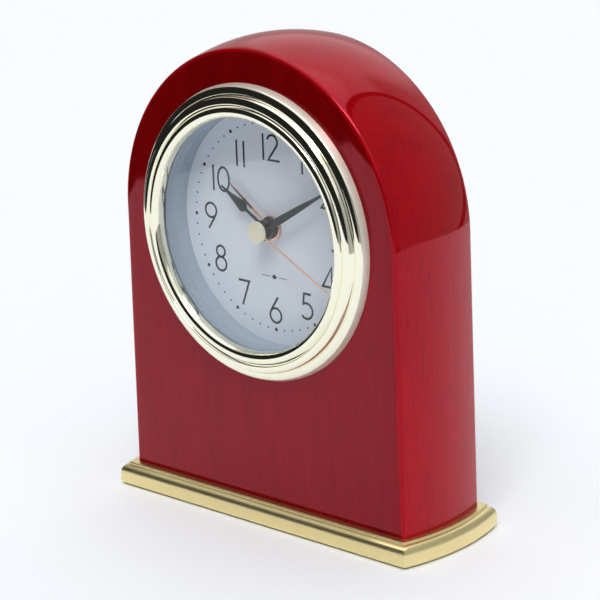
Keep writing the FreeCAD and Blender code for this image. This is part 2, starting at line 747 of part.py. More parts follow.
def make_motor():
    stator = new_body("stator")
    sketch = facing_sketch(stator, "dim.stator_front")
    core_top = "dim.coil_height + 1.8"
    outline(sketch, [
        ("-16", "10.4"), ("0", "10.4"), ("2", "8.6"), ("15", "8.6"), ("15", core_top), ("11", core_top),
        ("11", "14.8"), ("-12", "14.8"), ("-12", core_top), ("-16", core_top)])
    pad(stator, sketch, "dim.lamination")
    before = "dim.stator_front - 1"
    drill(stator, "dim.stator_hole", before, "3", [formulas(ROTOR)])
    drill(stator, "dim.post_hole", before, "3", POSTS[:2])

    core = new_body("coil_core")
    sketch = facing_sketch(core, "dim.stator_front - dim.lamination")
    rectangle(sketch, "-16", "dim.coil_height - 1.8", "15", core_top)
    pad(core, sketch, "dim.lamination")

    middle = "-0.5"
    core_depth = "dim.stator_front - dim.lamination / 2"
    half = "dim.coil_half_length"
    flange = "0.8"
    bobbin = new_body("coil_bobbin", middle, "dim.dial_height + dim.coil_height")
    bobbin.setExpression("Placement.Base.y", core_depth)
    sketch = new_sketch(bobbin, "XY_Plane")
    outline(sketch, [
        (f"-{half}", "0"), (half, "0"), (half, "dim.coil_flange"), (f"{half} - {flange}", "dim.coil_flange"),
        (f"{half} - {flange}", "dim.coil_tube"), (f"{flange} - {half}", "dim.coil_tube"),
        (f"{flange} - {half}", "dim.coil_flange"), (f"-{half}", "dim.coil_flange")])
    turn(bobbin, sketch, "H_Axis")
    sketch = facing_sketch(bobbin, "-dim.lamination / 2")
    rectangle(sketch, "-15", "-1.8", "15", "1.8")
    pocket(bobbin, sketch, "dim.lamination")

    winding = new_body("coil_winding", middle, "dim.dial_height + dim.coil_height")
    winding.setExpression("Placement.Base.y", core_depth)
    sketch = new_sketch(winding, "XY_Plane")
    outline(sketch, [
        (f"{flange} - {half}", "dim.coil_tube"), (f"{half} - {flange}", "dim.coil_tube"),
        (f"{half} - {flange}", "dim.coil_wound"), (f"{flange} - {half}", "dim.coil_wound")])
    turn(winding, sketch, "H_Axis")


def make_electrics():
    board = new_body("circuit_board")
    sketch = facing_sketch(board, "dim.board_front")
    rectangle(sketch, "-26.2", "-10.8", "-17.6", "16")
    pad(board, sketch, "dim.board_thick")
    board_back = "dim.board_front + dim.board_thick"

    crystal = new_body("quartz_crystal", "-20", "dim.dial_height + 8")
    crystal.setExpression("Placement.Base.y", f"{board_back} + dim.crystal_radius")
    sketch = new_sketch(crystal, "XY_Plane", "-dim.crystal_length / 2")
    circle(sketch, "dim.crystal_radius")
    pad(crystal, sketch, "dim.crystal_length", away=False)

    ring_height = "1.2"
    turned("drive_chip", [
        ("0", board_back), ("3", board_back), ("2", f"{board_back} + {ring_height}"),
        ("0", f"{board_back} + {ring_height}")], "-22", "dim.dial_height + 1")

    piezo_front = "dim.housing_back - dim.piezo_thick"
    turned("piezo_buzzer", [
        ("0", piezo_front), ("dim.piezo_radius", piezo_front), ("dim.piezo_radius", "dim.housing_back"),
        ("0", "dim.housing_back")], "dim.piezo_x", "dim.dial_height + dim.piezo_z")

    cell = new_body("battery_cell", "0", "dim.dial_height + dim.cell_height")
    cell.setExpression("Placement.Base.y", "dim.cell_centre_depth")
    sketch = new_sketch(cell, "XY_Plane")
    body_end = "dim.cell_left + dim.cell_length"
    outline(sketch, [
        ("dim.cell_left", "0"), (f"{body_end} + dim.cell_nub", "0"),
        (f"{body_end} + dim.cell_nub", "dim.cell_nub_radius"), (body_end, "dim.cell_nub_radius"),
        (body_end, "dim.cell_radius"), ("dim.cell_left", "dim.cell_radius")])
    turn(cell, sketch, "H_Axis")

    positive = new_body("battery_contact_positive", "0", "dim.dial_height + dim.cell_height")
    sketch = facing_sketch(positive, "dim.cell_centre_depth - 4")
    plate_left = f"{body_end} + dim.cell_nub"
    rectangle(sketch, plate_left, "-5", f"{plate_left} + 0.3", "5")
    pad(positive, sketch, "8")

    negative = new_body("battery_contact_negative", "0", "dim.dial_height + dim.cell_height")
    sketch = facing_sketch(negative, "dim.cell_centre_depth - 3")
    outline(sketch, [
        ("-26.7", "-5"), ("-26.4", "-5"), ("-26.4", "1"), ("dim.cell_left", "4"), ("dim.cell_left", "5"),
        ("dim.cell_left - 0.3", "5"), ("dim.cell_left - 0.3", "4.2"), ("-26.7", "1.2")])
    pad(negative, sketch, "6")

    leaf = new_body("alarm_contact_spring")
    sketch = new_sketch(leaf, "YZ_Plane", "0.2")
    strip = "dim.plate_front"
    tip = "dim.hour_wheel_front + dim.motion_thick + 0.07"
    outline(sketch, [
        (strip, "-11"), (strip, "-8.4"), (f"{tip} + 0.15", "-5.4"), (f"{tip} + 0.15", "-4.4"), (tip, "-4.4"),
        (tip, "-5.5"), (f"{strip} - 0.15", "-8.5"), (f"{strip} - 0.15", "-11")])
    pad(leaf, sketch, "1.5", away=False)


# ---------------------------------------------------------------- wheel train

def arbor(name, place, stages):
    """A turned shaft at a place about the dial's axis; stages are (radius, front, back), front first."""
    x, z = formulas(place)
    body = new_body(name, x, f"dim.dial_height + {z}")
    profile = [("0", stages[0][1])]
    for radius, front, back in stages:
        profile += [(radius, front), (radius, back)]
    profile.append(("0", stages[-1][2]))
    sketch = new_sketch(body, "XY_Plane")
    outline(sketch, profile)
    turn(body, sketch)
    return body


def sleeve(name, outer, bore, front, back):
    return ring(name, bore, outer, front, back)


def make_train():
    thick = "dim.wheel_thick"
    pivot_front = "dim.plate_front + 0.2"
    pivot_back = "dim.bridge_front + 0.8"

    # the second wheel's arbor runs through the cannon pinion to the second hand and the cap
    second_pinion_phase = 0.0
    second = arbor("second_wheel", AXIS, [
        ("dim.second_arbor", "dim.cap_front + 0.6", "dim.third_wheel_front"),
        ("0.7", "dim.third_wheel_front", f"dim.second_wheel_front + {thick}"),
        ("dim.pivot_radius", f"dim.second_wheel_front + {thick}", pivot_back)])
    gear(second, TRAIN_PINION, "dim.second_module", second_pinion_phase, "dim.third_wheel_front",
         "dim.second_wheel_front - dim.third_wheel_front")
    gear(second, SECOND_TEETH, "dim.fast_module", 0.0, "dim.second_wheel_front", thick)

    third = arbor("third_wheel", THIRD, [
        ("dim.pivot_radius", pivot_front, "dim.centre_wheel_front - 0.1"),
        ("0.6", "dim.centre_wheel_front - 0.1", f"dim.third_wheel_front + {thick}"),
        ("dim.pivot_radius", f"dim.third_wheel_front + {thick}", pivot_back)])
    third_phase = meshing_phase(THIRD_WAY, TRAIN_PINION, second_pinion_phase, THIRD_TEETH)
    gear(third, THIRD_TEETH, "dim.second_module", third_phase, "dim.third_wheel_front", thick)
    gear(third, TRAIN_PINION, "dim.third_module", 0.0, "dim.centre_wheel_front - 0.1",
         "dim.third_wheel_front - dim.centre_wheel_front + 0.1")

    centre = ring("centre_wheel", "dim.cannon_tube + 0.03", "2.2", "dim.centre_wheel_front",
                  f"dim.centre_wheel_front + {thick}")
    gear_with_bore(centre, CENTRE_TEETH, "dim.third_module",
                   meshing_phase(THIRD_WAY + math.pi, TRAIN_PINION, 0.0, CENTRE_TEETH),
                   "dim.centre_wheel_front", thick, "dim.cannon_tube + 0.03")

    fast = arbor("intermediate_wheel", FAST, [
        ("dim.pivot_radius", pivot_front, "dim.second_wheel_front - 0.1"),
        ("0.6", "dim.second_wheel_front - 0.1", f"dim.fast_wheel_front + {thick}"),
        ("dim.pivot_radius", f"dim.fast_wheel_front + {thick}", pivot_back)])
    gear(fast, TRAIN_PINION, "dim.fast_module",
         meshing_phase(FAST_WAY, SECOND_TEETH, 0.0, TRAIN_PINION), "dim.second_wheel_front - 0.1",
         "dim.fast_wheel_front - dim.second_wheel_front + 0.1")
    gear(fast, FAST_TEETH, "dim.rotor_module", 0.0, "dim.fast_wheel_front", thick)

    rotor = arbor("rotor_pinion", ROTOR, [
        ("dim.pivot_radius", pivot_front, "dim.fast_wheel_front - 0.1"),
        ("0.5", "dim.fast_wheel_front - 0.1", f"dim.fast_wheel_front + {thick} + 0.1"),
        ("dim.pivot_radius", f"dim.fast_wheel_front + {thick} + 0.1", pivot_back)])
    gear(rotor, TRAIN_PINION, "dim.rotor_module",
         meshing_phase(ROTOR_WAY, FAST_TEETH, 0.0, TRAIN_PINION), "dim.fast_wheel_front - 0.1",
         f"{thick} + 0.2")
    x, z = formulas(ROTOR)
    ring("rotor_magnet", "dim.pivot_radius", "dim.magnet_radius", "dim.magnet_front",
         "dim.magnet_front + dim.magnet_thick", x, f"dim.dial_height + {z}")


def gear_with_bore(body, teeth, module, phase, front, thick, bore):
    """Add a gear to a sleeve, then clear the sleeve's bore again."""
    gear(body, teeth, module, phase, front, thick)
    drill(body, bore, f"{front} - 0.5", f"{thick} + 1", [("0", "0")])


def make_motion_work():
    thick = "dim.motion_thick"
    cannon = sleeve("cannon_pinion", "dim.cannon_tube", "dim.cannon_bore", "dim.minute_hand_front",
                    f"dim.centre_wheel_front + dim.wheel_thick + 0.1")
    cannon_phase = math.radians(90)
    gear_with_bore(cannon, CANNON_PINION, "dim.cannon_module", cannon_phase, "dim.minute_wheel_front", thick,
                   "dim.cannon_bore")

    x, z = formulas(MINUTE)
    minute = ring("minute_wheel", "0.65", "1.1", "dim.hour_wheel_front - 0.05",
                  f"dim.minute_wheel_front + {thick}", x, f"dim.dial_height + {z}")
    minute_phase = meshing_phase(MINUTE_WAY, CANNON_PINION, cannon_phase, MINUTE_TEETH)
    gear_with_bore(minute, MINUTE_TEETH, "dim.cannon_module", minute_phase, "dim.minute_wheel_front",
                   thick, "0.65")
    gear_with_bore(minute, HOUR_PINION, "dim.hour_module", 0.0, "dim.hour_wheel_front - 0.05",
                   "dim.minute_wheel_front - dim.hour_wheel_front + 0.05", "0.65")

    hour = sleeve("hour_wheel", "dim.hour_sleeve", "dim.hour_sleeve_bore", "dim.hour_hand_front",
                  f"dim.hour_wheel_front + {thick}")
    hour_phase = meshing_phase(MINUTE_WAY + math.pi, HOUR_PINION, 0.0, HOUR_TEETH)
    gear_with_bore(hour, HOUR_TEETH, "dim.hour_module", hour_phase, "dim.hour_wheel_front", thick,
                   "dim.hour_sleeve_bore")

    alarm = sleeve("alarm_wheel", "dim.alarm_sleeve", "dim.alarm_sleeve_bore", "dim.alarm_hand_front",
                   "dim.alarm_wheel_front + dim.alarm_wheel_thick")
    gear_with_bore(alarm, ALARM_TEETH, "dim.alarm_module", 0.0, "dim.alarm_wheel_front",
                   "dim.alarm_wheel_thick", "dim.alarm_sleeve_bore")

    time_phase = meshing_phase(TIME_WAY, MINUTE_TEETH, minute_phase, SETTING_PINION)
    setting_knob("time_set", TIME, "dim.cannon_module", time_phase, "dim.minute_wheel_front", thick)
    alarm_phase = meshing_phase(ALARM_WAY, ALARM_TEETH, 0.0, SETTING_PINION)
    setting_knob("alarm_set", ALARM, "dim.alarm_module", alarm_phase, "dim.alarm_wheel_front",
                 "dim.alarm_wheel_thick")


def setting_knob(name, place, module, phase, front, thick):
    """A knob behind the back cover, and the arbor that carries its pinion to the setting wheel."""
    shaft = arbor(name + "_arbor", place, [("dim.arbor_radius", front, "dim.knob_back - 1")])
    gear(shaft, SETTING_PINION, module, phase, front, thick)
    x, z = formulas(place)
    knob = turned(name + "_knob", [
        ("0", "dim.knob_back - 1"), ("dim.arbor_radius", "dim.knob_back - 1"),
        ("dim.arbor_radius", "dim.knob_front"), ("dim.knob_radius", "dim.knob_front"),
        ("dim.knob_radius", "dim.knob_back - 0.5"), ("dim.knob_radius - 0.5", "dim.knob_back", "0.5", 1),
        ("0", "dim.knob_back")], x, f"dim.dial_height + {z}")
    grips = facing_sketch(knob, "dim.knob_front - 0.5")
    for groove in range(16):
        angle = groove * math.pi / 8
        across, up = formulas(beside(AXIS, angle, 1.0))
        circle(grips, "0.35", f"dim.knob_radius * {across}", f"dim.knob_radius * {up}")
    pocket(knob, grips, "5")


# ---------------------------------------------------------------- hands

def hand(name, angle, front, thick, hub, bore, blade):
    """A flat hand that points up before it is turned clockwise to its angle; blade is its outline."""
    body = new_body(name)
    body.Placement.Rotation = FreeCAD.Rotation(Vector(0, 1, 0), size(angle))
    body.setExpression("Placement.Rotation.Angle", angle)
    sketch = facing_sketch(body, front)
    outline(sketch, blade)
    pad(body, sketch, thick)
    columns(body, hub, front, thick, [("0", "0")])
    drill(body, bore, f"{front} - 1", f"{thick} + 2", [("0", "0")])
    return body


def mirrored_blade(right_side):
    """The outline of a hand that is symmetric about its length, from the corners of its right side."""
    left_side = [(f"-({x})", z) for x, z in reversed(right_side)]
    return right_side + left_side


def make_hands():
    thick = "dim.hand_thick"
    hand("alarm_hand", "dim.alarm_hand_angle", "dim.alarm_hand_front", thick, "dim.alarm_hub",
         "dim.alarm_sleeve",
         mirrored_blade([("0.45", "0"), ("0.4", "12"), ("0.15", "dim.alarm_hand_length")]))
    hand("hour_hand", "dim.hour_hand_angle", "dim.hour_hand_front", thick, "dim.hand_hub", "dim.hour_sleeve",
         mirrored_blade([
             ("0.55", "0"), ("0.45", "6"), ("1.5", "9.8"), ("0.9", "13.5"), ("0.45", "16.5"),
             ("0.2", "dim.hour_hand_length")]))
    hand("minute_hand", "dim.minute_hand_angle", "dim.minute_hand_front", thick, "dim.hand_hub",
         "dim.cannon_tube", mirrored_blade([
             ("0.7", "0"), ("1.18", "7"), ("0.9", "17"), ("0.25", "dim.minute_hand_length")]))
    hand("second_hand", "dim.second_hand_angle", "dim.second_hand_front", "dim.hand_thick", "1.6",
         "dim.second_arbor", mirrored_blade([
             ("0.3", "-dim.second_tail_length"), ("0.25", "0"), ("0.2", "dim.second_hand_length")]))
    cap_back = "dim.second_hand_front - 0.02"
    turned("hand_cap", [
        ("0", "dim.cap_front"), ("dim.cap_radius - 0.6", "dim.cap_front"),
        ("dim.cap_radius", "dim.cap_front + 0.5"), ("dim.cap_radius", cap_back),
        ("dim.second_arbor", cap_back), ("dim.second_arbor", "dim.cap_front + 0.6"),
        ("0", "dim.cap_front + 0.6")])


def make_alarm_switch():
    body = new_body("alarm_switch", "dim.switch_x", "dim.dial_height + dim.switch_z")
    cover_back = "dim.housing_back + dim.wall"
    sketch = facing_sketch(body, "dim.housing_back - 1.2")
    rectangle(sketch, "-1.5", "-1", "1.5", "1")
    pad(body, sketch, "dim.wall + 2.6")
    sketch = facing_sketch(body, f"{cover_back} + 0.1")
    rectangle(sketch, "-2.2", "-1.6", "2.2", "1.6")
    pad(body, sketch, "1.4")
    grips = facing_sketch(body, f"{cover_back} + 1.2")
    for groove in (-1.2, 0.0, 1.2):
        rectangle(grips, f"{groove} - 0.2", "-1.7", f"{groove} + 0.2", "1.7")
    pocket(body, grips, "1")


for make in (make_wood_case, make_plinth, make_bezel, make_housing, make_plates, make_motor, make_electrics,
             make_train, make_motion_work, make_hands, make_alarm_switch):
    make()
doc.recompute()

failed = [item.Name for item in doc.Objects if "Invalid" in item.State or "Error" in item.State]
if failed:
    raise RuntimeError("these objects failed: " + ", ".join(failed))
for part in SUB_PARTS:
    if part.Shape.isNull() or not part.Shape.isValid() or not part.Shape.Solids:
        raise RuntimeError(part.Label + " has no valid solid")
for part in SUB_PARTS:
    part.Shape.exportStep(f"parts/{part.Label}.step")
print(len(SUB_PARTS), "sub-parts written")
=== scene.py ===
"""Looks of the arch desk clock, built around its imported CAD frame. Blender's units are metres."""
import json
import math

import bmesh
import bpy
from mathutils import Euler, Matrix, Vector


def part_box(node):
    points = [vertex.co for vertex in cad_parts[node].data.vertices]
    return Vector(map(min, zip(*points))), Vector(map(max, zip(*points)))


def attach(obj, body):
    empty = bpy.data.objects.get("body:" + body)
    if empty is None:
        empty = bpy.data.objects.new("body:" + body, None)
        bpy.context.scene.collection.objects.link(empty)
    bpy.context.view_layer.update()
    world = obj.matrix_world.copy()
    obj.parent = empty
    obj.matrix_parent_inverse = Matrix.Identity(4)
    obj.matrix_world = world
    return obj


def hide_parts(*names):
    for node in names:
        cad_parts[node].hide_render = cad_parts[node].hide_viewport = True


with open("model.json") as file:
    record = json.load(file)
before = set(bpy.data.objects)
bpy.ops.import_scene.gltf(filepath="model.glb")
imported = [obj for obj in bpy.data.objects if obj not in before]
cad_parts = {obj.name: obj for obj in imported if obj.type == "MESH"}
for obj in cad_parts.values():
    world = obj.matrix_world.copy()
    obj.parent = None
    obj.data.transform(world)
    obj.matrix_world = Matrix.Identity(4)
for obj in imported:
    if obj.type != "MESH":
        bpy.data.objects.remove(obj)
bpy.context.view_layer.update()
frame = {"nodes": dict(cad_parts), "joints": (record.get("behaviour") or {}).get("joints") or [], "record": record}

MM = 0.001
NODES = frame["nodes"]
JOINTS = {joint["name"]: joint for joint in frame["joints"]}


def box_mm(node):
    """A CAD node's lowest and highest corners, in millimetres."""
    low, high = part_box(node)
    return low / MM, high / MM


# ---------------------------------------------------------------- sizes, in millimetres
DIAL_Z = JOINTS["second_hand_spin"]["pos_m"][2] / MM
CASE_LOW, CASE_HIGH = box_mm("wood_case")
FRONT = CASE_LOW.y
BACK = CASE_HIGH.y
FOOT = CASE_LOW.z
BULGE = 2.1
ARCH_RADIUS = 53.2
ARCH_Z = CASE_HIGH.z - ARCH_RADIUS - BULGE
FOOT_HALF = CASE_HIGH.x - BULGE
RIM_ROUND = 1.25
BORE = 40.5
DIAL_FRONT = box_mm("dial")[0].y
LENS_FRONT = box_mm("glass_lens")[0].y

# ---------------------------------------------------------------- node materials


def new_material(name):
    material = bpy.data.materials.new(name)
    material.use_nodes = True
    return material, material.node_tree, material.node_tree.nodes["Principled BSDF"]


def add_node(tree, kind, settings=None, **sockets):
    """A shader node; settings are its own properties, the rest are values or links for its inputs."""
    node = tree.nodes.new(kind)
    for key, value in (settings or {}).items():
        setattr(node, key, value)
    for key, value in sockets.items():
        socket = node.inputs[key.replace("_", " ")]
        if isinstance(value, bpy.types.NodeSocket):
            tree.links.new(value, socket)
        else:
            socket.default_value = value
    return node


def object_place(tree, scale=(1, 1, 1)):
    """The surface point in millimetres, stretched by scale."""
    place = add_node(tree, "ShaderNodeTexCoord")
    return add_node(tree, "ShaderNodeMapping", None, Vector=place.outputs["Object"],
                    Scale=[1000 * part for part in scale]).outputs["Vector"]


def noise(tree, scale, stretch=(1, 1, 1), detail=4.0, roughness=0.55, distortion=0.0):
    """Noise whose cells are about 1 / scale millimetres wide."""
    return add_node(tree, "ShaderNodeTexNoise", None, Vector=object_place(tree, stretch), Scale=scale,
                    Detail=detail, Roughness=roughness, Distortion=distortion).outputs["Fac"]


def ramp(tree, factor, stops):
    """A colour ramp; stops are (position, colour), and a bare number is a grey."""
    node = add_node(tree, "ShaderNodeValToRGB", None, Fac=factor)
    elements = node.color_ramp.elements
    while len(elements) < len(stops):
        elements.new(0.5)
    for element, (position, colour) in zip(elements, stops):
        element.position = position
        element.color = (colour, colour, colour, 1) if isinstance(colour, float) else (*colour, 1)
    return node.outputs["Color"]


def bump(tree, height, strength, distance):
    return add_node(tree, "ShaderNodeBump", None, Height=height, Strength=strength,
                    Distance=distance * MM).outputs["Normal"]


def link(tree, output, shader, socket):
    tree.links.new(output, shader.inputs[socket])


def mix_colours(tree, factor, one, two, blend="MIX"):
    node = add_node(tree, "ShaderNodeMix", {"data_type": "RGBA", "blend_type": blend})
    for index, value in ((0, factor), (6, one), (7, two)):
        if isinstance(value, bpy.types.NodeSocket):
            tree.links.new(value, node.inputs[index])
        else:
            node.inputs[index].default_value = value if index == 0 else (*value, 1)
    return node.outputs[2]


def lacquered_wood(name, dark, light):
    """Fine upright grain with short dark pores under deep red gloss lacquer, which tints what it mirrors."""
    material, tree, shader = new_material(name)
    broad = noise(tree, 0.16, (1, 0.6, 0.10), 4.0, 0.6, 0.4)
    fine = noise(tree, 1.6, (1, 1, 0.045), 5.0, 0.65, 0.15)
    pores = noise(tree, 2.6, (1, 1, 0.06), 2.0, 0.5, 0.0)
    base = ramp(tree, broad, [(0.30, dark), (0.70, light)])
    streaks = ramp(tree, fine, [(0.30, (0.76, 0.62, 0.62)), (0.62, (1.0, 1.0, 1.0))])
    grained = mix_colours(tree, 1.0, base, streaks, "MULTIPLY")
    dark_pores = ramp(tree, pores, [(0.29, 0.8), (0.38, 0.0)])
    pored = mix_colours(tree, dark_pores, grained, (0.09, 0.001, 0.002))
    link(tree, pored, shader, "Base Color")
    link(tree, ramp(tree, fine, [(0.2, 0.06), (0.8, 0.03)]), shader, "Roughness")
    shader.inputs["IOR"].default_value = 1.95
    shader.inputs["Specular Tint"].default_value = (1.0, 0.11, 0.18, 1)
    return material


def polished_gold():
    """Pale gold plating, mirror bright, with faint turned lines."""
    material, tree, shader = new_material("polished_gold")
    cloud = noise(tree, 0.25, detail=3.0)
    plating = ramp(tree, cloud, [(0.3, (0.95, 0.92, 0.73)), (0.7, (0.97, 0.95, 0.78))])
    link(tree, plating, shader, "Base Color")
    link(tree, ramp(tree, noise(tree, 3.0, detail=3.0), [(0.3, 0.04), (0.7, 0.08)]), shader, "Roughness")
    link(tree, bump(tree, noise(tree, 0.9, detail=2.0), 0.10, 0.02), shader, "Normal")
    shader.inputs["Metallic"].default_value = 1.0
    return material


def satin_gold():
    """Brushed gold plating; the brush marks run along X."""
    material, tree, shader = new_material("satin_gold")
    marks = noise(tree, 9.0, (0.02, 1, 1), 4.0, 0.7)
    plating = ramp(tree, marks, [(0.3, (0.84, 0.70, 0.33)), (0.7, (0.95, 0.83, 0.46))])
    link(tree, plating, shader, "Base Color")
    link(tree, ramp(tree, marks, [(0.25, 0.28), (0.75, 0.38)]), shader, "Roughness")
    link(tree, bump(tree, marks, 0.25, 0.01), shader, "Normal")
    shader.inputs["Metallic"].default_value = 1.0
    return material


def plain_finish(name, dark, light, roughness, metallic=0.0, scale=2.0, relief=0.0):
    """A moulded, painted or plated finish, mottled between two colours and two roughnesses."""
    material, tree, shader = new_material(name)
    mottle = noise(tree, scale, detail=5.0)
    link(tree, ramp(tree, mottle, [(0.3, dark), (0.7, light)]), shader, "Base Color")
    low, high = roughness
    link(tree, ramp(tree, mottle, [(0.3, low), (0.7, high)]), shader, "Roughness")
    if relief:
        link(tree, bump(tree, noise(tree, scale * 3, detail=3.0), 0.5, relief), shader, "Normal")
    shader.inputs["Metallic"].default_value = metallic
    return material


def clear_glass():
    """Flat mineral glass: it passes light straight through and mirrors a little."""
    material, tree, shader = new_material("clear_glass")
    tree.nodes.remove(shader)
    clear = add_node(tree, "ShaderNodeBsdfTransparent", None, Color=(0.965, 0.98, 0.985, 1))
    haze = ramp(tree, noise(tree, 0.2), [(0.3, 0.0), (0.7, 0.02)])
    mirror = add_node(tree, "ShaderNodeBsdfGlossy", None, Color=(1, 1, 1, 1), Roughness=haze)
    slant = add_node(tree, "ShaderNodeLayerWeight", None, Blend=0.5).outputs["Facing"]
    mirrored = ramp(tree, slant, [(0.0, 0.02), (0.3, 0.028), (0.5, 0.06),
                                  (0.7, 0.18), (0.85, 0.45), (1.0, 1.0)])
    mixed = add_node(tree, "ShaderNodeMixShader", None, Fac=mirrored)
    tree.links.new(clear.outputs[0], mixed.inputs[1])
    tree.links.new(mirror.outputs[0], mixed.inputs[2])
    tree.links.new(mixed.outputs[0], tree.nodes["Material Output"].inputs["Surface"])
    return material


MATERIALS = {
    "wood": lacquered_wood("red_lacquered_wood", (0.33, 0.0010, 0.0030), (0.40, 0.0016, 0.0045)),
    # The flat front and back faces get a darker copy of the red lacquered wood: painted shade, as they catch less
    # light than the rim.
    "wood_face_painted_shade": lacquered_wood("red_lacquered_face_painted_shade", (0.175, 0.0006, 0.0014), (0.23, 0.0010, 0.0022)),
    "polished_gold": polished_gold(),
    "satin_gold": satin_gold(),
    "bezel_flank": plain_finish("bezel_flank", (0.95, 0.92, 0.76), (0.97, 0.95, 0.82),
                                (0.30, 0.38), 0.5, 2.0),
    "glass": clear_glass(),
    "dial_paint": plain_finish("dial_paint", (0.92, 0.92, 0.99), (0.94, 0.94, 0.99),
                               (0.55, 0.65), 0, 4.0, 0.004),
    # White plastic darkened to blue-grey: painted shade for the dial wall sunk inside the bezel; every white
    # plastic part gets it.
    "white_plastic": plain_finish("white_plastic", (0.38, 0.44, 0.52), (0.44, 0.50, 0.58),
                                  (0.15, 0.22), 0, 1.0),
    "cap_gold": plain_finish("cap_gold", (0.98, 0.85, 0.60), (1.0, 0.90, 0.68), (0.30, 0.40), 0.15, 3.0),
    "print_ink": plain_finish("print_ink", (0.008, 0.009, 0.012), (0.014, 0.015, 0.02),
                              (0.5, 0.6), 0, 5.0),
    "black_paint": plain_finish("black_paint", (0.010, 0.011, 0.013), (0.018, 0.019, 0.022),
                                (0.28, 0.4), 0, 3.0),
    "copper_tone": plain_finish("copper_tone", (0.80, 0.46, 0.34), (0.88, 0.54, 0.40),
                                (0.22, 0.32), 1.0, 3.0),
    "black_plastic": plain_finish("black_plastic", (0.014, 0.014, 0.015), (0.024, 0.024, 0.026),
                                  (0.42, 0.6), 0, 2.0, 0.02),
    "natural_plastic": plain_finish("natural_plastic", (0.72, 0.70, 0.62), (0.80, 0.78, 0.70),
                                    (0.35, 0.5), 0, 1.0),
    "rubber": plain_finish("rubber", (0.012, 0.012, 0.012), (0.022, 0.022, 0.022),
                           (0.7, 0.85), 0, 2.0, 0.02),
    "steel": plain_finish("steel", (0.52, 0.52, 0.53), (0.64, 0.64, 0.65), (0.22, 0.4), 1.0, 1.5),
    "brass": plain_finish("brass", (0.72, 0.52, 0.20), (0.82, 0.62, 0.28), (0.2, 0.35), 1.0, 1.5),
    "magnet": plain_finish("magnet", (0.05, 0.05, 0.055), (0.09, 0.09, 0.095), (0.5, 0.6), 0.6, 2.0),
    "copper_wire": plain_finish("copper_wire", (0.40, 0.13, 0.05), (0.60, 0.22, 0.09),
                                (0.25, 0.4), 0.9, 8.0, 0.02),
    "board": plain_finish("board_green", (0.008, 0.09, 0.035), (0.015, 0.14, 0.06), (0.25, 0.4), 0, 1.0),
    "red_plastic": plain_finish("red_plastic", (0.50, 0.012, 0.010), (0.60, 0.02, 0.014),
                                (0.25, 0.4), 0, 1.0),
    "cell_jacket": plain_finish("cell_jacket", (0.03, 0.09, 0.26), (0.05, 0.12, 0.32), (0.2, 0.3), 0, 0.5),
    "felt": plain_finish("felt", (0.010, 0.030, 0.018), (0.030, 0.065, 0.040), (0.9, 1.0), 0, 5.0, 0.12),
}

SLOT_MATERIALS = {
    "red_lacquered_wood": "wood", "gold_plated": "satin_gold", "steel": "steel", "felt": "felt",
    "clear_glass": "glass", "white_plastic": "white_plastic", "natural_plastic": "natural_plastic",
    "black_plastic": "black_plastic", "dial_paint": "dial_paint", "black_rubber": "rubber",
    "black_paint": "black_paint", "copper_tone": "copper_tone", "brass": "brass", "magnet": "magnet",
    "copper_wire": "copper_wire", "board_green": "board", "red_plastic": "red_plastic",
    "cell_jacket": "cell_jacket",
}
for entry in frame["record"]["subparts"]:
    slots = NODES[entry["node"]].data.materials
    slots.clear()
    slots.append(MATERIALS[SLOT_MATERIALS[entry["material_slot"]]])


# ---------------------------------------------------------------- mesh helpers

def make_piece(name, points, faces, material, body, replaces=(), smooth=True, sharp_angle=35.0):
    """A mesh piece from points in millimetres; it rides on a body and stands for the nodes in replaces."""
    mesh = bpy.data.meshes.new(name)
    mesh.from_pydata([Vector(point) * MM for point in points], [], faces)
    tidy = bmesh.new()
    tidy.from_mesh(mesh)
    bmesh.ops.remove_doubles(tidy, verts=tidy.verts, dist=1e-7)
    bmesh.ops.recalc_face_normals(tidy, faces=tidy.faces)
    tidy.to_mesh(mesh)
    tidy.free()
    piece = bpy.data.objects.new(name, mesh)
    bpy.context.scene.collection.objects.link(piece)
    mesh.materials.append(MATERIALS[material])
    if smooth:
        mesh.shade_smooth()
        mesh.set_sharp_from_angle(angle=math.radians(sharp_angle))
    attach(piece, body)
    if replaces:
        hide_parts(*replaces)
    return piece


def grid_faces(rows, columns, close_rows=False):
    """Quads over a grid of points that are listed row by row; each row is a closed ring."""
    faces = []
    for row in range(rows if close_rows else rows - 1):
        following = (row + 1) % rows
        for column in range(columns):
            beside = (column + 1) % columns
            faces.append((row * columns + column, row * columns + beside,
                          following * columns + beside, following * columns + column))
    return faces


def arc(centre, radius, start, end, steps):
    """Points along an arc, angles in degrees, both ends included."""
    angles = [math.radians(start + (end - start) * step / steps) for step in range(steps + 1)]
    return [(centre[0] + radius * math.cos(a), centre[1] + radius * math.sin(a)) for a in angles]


def lathe_points(profile, segments):
    """A closed profile of (radius, depth) turned about the dial's axis."""
    points = []
    for radius, depth in profile:
        for step in range(segments):
            angle = 2 * math.pi * step / segments
            points.append((radius * math.sin(angle), depth, DIAL_Z + radius * math.cos(angle)))
    return points


def lathe(name, profile, material, body, replaces=(), segments=192, sharp_angle=35.0):
    points = lathe_points(profile, segments)
    faces = grid_faces(len(profile), segments, close_rows=True)
    return make_piece(name, points, faces, material, body, replaces, True, sharp_angle)


def plate(name, outlines, front, thickness, material, body, replaces=(), turn=0.0):
    """Flat shapes that face the front: each outline is extruded, then all turn clockwise about the dial."""
    points = []
    faces = []
    angle = math.radians(turn)
    for outline in outlines:
        first = len(points)
        count = len(outline)
        for depth in (front, front + thickness):
            for x, z in outline:
                points.append((x * math.cos(angle) + z * math.sin(angle), depth,
                               DIAL_Z + z * math.cos(angle) - x * math.sin(angle)))
        faces.append(tuple(range(first, first + count)))
        faces.append(tuple(reversed(range(first + count, first + 2 * count))))
        faces += [(first + i, first + count + i, first + count + (i + 1) % count, first + (i + 1) % count)
                  for i in range(count)]
    return make_piece(name, points, faces, material, body, replaces, False)


# ---------------------------------------------------------------- case

